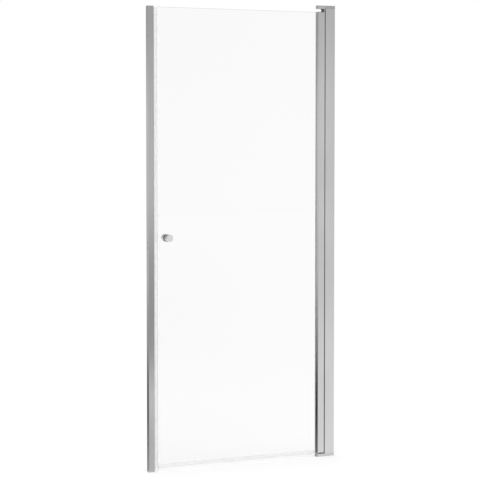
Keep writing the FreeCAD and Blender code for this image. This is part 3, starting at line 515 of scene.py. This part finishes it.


# Bead in the hinge gap: dark rubber that is partly a seal and partly painted shade in the gap

def arc(x, y, radius, start, end):
    """Points of an arc about a centre, between two angles in radians."""
    turns = [start + (end - start) * i / BEAD_STEPS for i in range(BEAD_STEPS + 1)]
    return [(x + radius * math.cos(t), y + radius * math.sin(t)) for t in turns]


def bead_outline():
    """Section that follows the sweep of the hinge profile, laps onto the post and fits round its corner."""
    pivot = Vector(next(joint["pos_m"] for joint in frame["joints"] if joint["name"] == "door_swing"))
    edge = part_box("hinge_profile")[1].x
    post_left, front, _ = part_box("hinge_post_profile")[0]
    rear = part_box("hinge_lip_seal")[0].y
    corner = rear - front
    reach = math.hypot(edge - pivot.x, front - pivot.y) + BEAD_CLEAR
    swept = [math.asin((y - pivot.y) / reach) for y in (rear, front - BEAD_PROUD)]
    outline = arc(pivot.x, pivot.y, reach, *swept)
    outline += arc(post_left + BEAD_LAP, front, BEAD_PROUD, -math.pi / 2, 0.0)
    outline += arc(post_left + corner, rear, corner, -math.pi / 2, -math.pi)
    return outline


def shade_gap_bead():
    """Soft dark bead that fills the front of the hinge gap from bracket to bracket; its dark rubber is
    partly a seal and partly painted shade in the gap.
    """
    low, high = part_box("hinge_lip_seal")
    outline = bead_outline()
    mesh = bmesh.new()
    ends = [[mesh.verts.new((x, y, z)) for x, y in outline] for z in (low.z, high.z)]
    for end in ends:
        mesh.faces.new(end)
    for i, (first, second) in enumerate(zip(*ends)):
        mesh.faces.new((ends[0][i - 1], first, second, ends[1][i - 1]))
    # The bead's dark rubber also paints the shade of the hinge gap
    finish_piece(mesh, "shade_gap_bead", RUBBER, "frame")


shade_gap_bead()


# Studio: white room, floor, lamp and camera

def seen_directly(tree):
    """1 for rays from the camera, from gloss and through glass, 0 for the light on matt surfaces."""
    path = add(tree, "LightPath")
    first = add(tree, "Math", operation="MAXIMUM")
    both = add(tree, "Math", operation="MAXIMUM")
    tree.links.new(path.outputs["Is Camera Ray"], first.inputs[0])
    tree.links.new(path.outputs["Is Glossy Ray"], first.inputs[1])
    tree.links.new(first.outputs[0], both.inputs[0])
    tree.links.new(path.outputs["Is Transmission Ray"], both.inputs[1])
    return both.outputs[0]


def ramp_by_angle(tree, angle, stops):
    """Brightness by an angle in radians, through stops that give degrees and level."""
    start = math.radians(stops[0][0])
    end = math.radians(stops[-1][0])
    share = add(tree, "MapRange")
    set_inputs(share, From_Min=start, From_Max=end)
    tree.links.new(angle, share.inputs["Value"])
    made = add(tree, "ValToRGB")
    made.color_ramp.interpolation = "EASE"
    elements = made.color_ramp.elements
    elements[0].color = grey(stops[0][1])
    elements[-1].color = grey(stops[-1][1])
    for degrees, level in stops[1:-1]:
        place = (math.radians(degrees) - start) / (end - start)
        elements.new(place).color = grey(level)
    tree.links.new(share.outputs["Result"], made.inputs["Fac"])
    return made.outputs["Color"]


def mixed(tree, share, first, second, way="MIX"):
    """Two colours mixed by a share, which may be a number; the first is white where it is None."""
    made = add(tree, "Mix", data_type="RGBA", blend_type=way)
    made.inputs["A"].default_value = grey(1.0)
    if first is not None:
        tree.links.new(first, made.inputs["A"])
    tree.links.new(second, made.inputs["B"])
    if isinstance(share, float):
        made.inputs["Factor"].default_value = share
    else:
        tree.links.new(share, made.inputs["Factor"])
    return made.outputs["Result"]


def turn_and_rise(tree):
    """Angles of a direction in the room: to the right of the front, and above the level."""
    source = add(tree, "TexCoord")
    flipped = add(tree, "VectorMath", operation="MULTIPLY")
    flipped.inputs[1].default_value = (1.0, -1.0, 1.0)
    parts = add(tree, "SeparateXYZ")
    turn = add(tree, "Math", operation="ARCTAN2")
    rise = add(tree, "Math", operation="ARCSINE")
    tree.links.new(source.outputs["Generated"], flipped.inputs[0])
    tree.links.new(flipped.outputs[0], parts.inputs[0])
    tree.links.new(parts.outputs["X"], turn.inputs[0])
    tree.links.new(parts.outputs["Y"], turn.inputs[1])
    tree.links.new(parts.outputs["Z"], rise.inputs[0])
    return turn.outputs[0], rise.outputs[0]


def room_for_gloss(tree):
    """Pale walls, dark low down from the front round to the left rear, and a panel at the front right."""
    turn, rise = turn_and_rise(tree)
    pale = ramp_by_angle(tree, rise, PALE_BY_RISE)
    dark = ramp_by_angle(tree, rise, DARK_BY_RISE)
    panel = ramp_by_angle(tree, rise, PANEL_BY_RISE)
    walls = mixed(tree, ramp_by_angle(tree, turn, DARK_BY_TURN), pale, dark)
    levelled = mixed(tree, 1.0, walls, ramp_by_angle(tree, turn, LEVEL_BY_TURN), "MULTIPLY")
    return mixed(tree, ramp_by_angle(tree, turn, PANEL_BY_TURN), levelled, panel)


def white_room():
    """White where it is seen, dimmer on matt surfaces, and the gloss room where it is mirrored."""
    world = bpy.data.worlds.new("white_room")
    world.use_nodes = True
    tree = world.node_tree
    tree.nodes.clear()
    mix = add(tree, "MixShader")
    output = add(tree, "OutputWorld")
    sky = add(tree, "Background")
    set_inputs(sky, Strength=SKY_LEVEL, Color=grey(1.0))
    seen = add(tree, "Background")
    path = add(tree, "LightPath")
    colour = mixed(tree, mirrored(tree, path), None, room_for_gloss(tree))
    tree.links.new(colour, seen.inputs["Color"])
    tree.links.new(sky.outputs["Background"], mix.inputs[1])
    tree.links.new(seen.outputs["Background"], mix.inputs[2])
    tree.links.new(seen_directly(tree), mix.inputs["Fac"])
    tree.links.new(mix.outputs["Shader"], output.inputs["Surface"])
    bpy.context.scene.world = world


def floor_material():
    """Matt white that keeps the shadow, topped up to white where it is seen."""
    made, tree, shader = new_material("floor")
    set_inputs(shader, Base_Color=grey(FLOOR_COLOUR), Roughness=0.9, Specular_IOR_Level=0.0)
    glow = add(tree, "Emission")
    glow.inputs["Strength"].default_value = FLOOR_GLOW
    mix = add(tree, "MixShader")
    share = add(tree, "Math", operation="MULTIPLY")
    share.inputs[1].default_value = FLOOR_SHARE
    tree.links.new(seen_directly(tree), share.inputs[0])
    tree.links.new(share.outputs[0], mix.inputs["Fac"])
    tree.links.new(shader.outputs["BSDF"], mix.inputs[1])
    tree.links.new(glow.outputs["Emission"], mix.inputs[2])
    tree.links.new(mix.outputs["Shader"], tree.nodes["Material Output"].inputs["Surface"])
    return made


def floor():
    half = FLOOR_SIZE / 2
    corners = [(x, y, -FLOOR_DROP) for x, y in ((-half, -half), (half, -half), (half, half), (-half, half))]
    data = bpy.data.meshes.new("floor")
    data.from_pydata(corners, [], [(0, 1, 2, 3)])
    data.materials.append(floor_material())
    made = bpy.data.objects.new("floor", data)
    made.visible_glossy = False
    bpy.context.scene.collection.objects.link(made)


def key_lamp():
    data = bpy.data.lights.new("key", "AREA")
    data.energy = KEY_POWER
    data.size = KEY_SIZE
    lamp = bpy.data.objects.new("key", data)
    lamp.location = KEY_PLACE
    aim = (cad_box[0] + cad_box[1]) / 2 - Vector(KEY_PLACE)
    lamp.rotation_euler = aim.to_track_quat("-Z", "Y").to_euler()
    lamp.visible_glossy = False
    bpy.context.scene.collection.objects.link(lamp)


def camera():
    data = bpy.data.cameras.new("camera")
    data.sensor_width = SENSOR_WIDTH
    data.lens = SENSOR_WIDTH * FOCAL_PIXELS / IMAGE_SIZE
    data.shift_y = CAMERA_SHIFT
    made = bpy.data.objects.new("camera", data)
    made.location = CAMERA_PLACE
    made.rotation_euler = (math.radians(90.0 - CAMERA_PITCH), 0.0, math.radians(-CAMERA_YAW))
    bpy.context.scene.collection.objects.link(made)
    bpy.context.scene.camera = made


white_room()
floor()
key_lamp()
camera()
bpy.context.scene.view_settings.view_transform = "Standard"
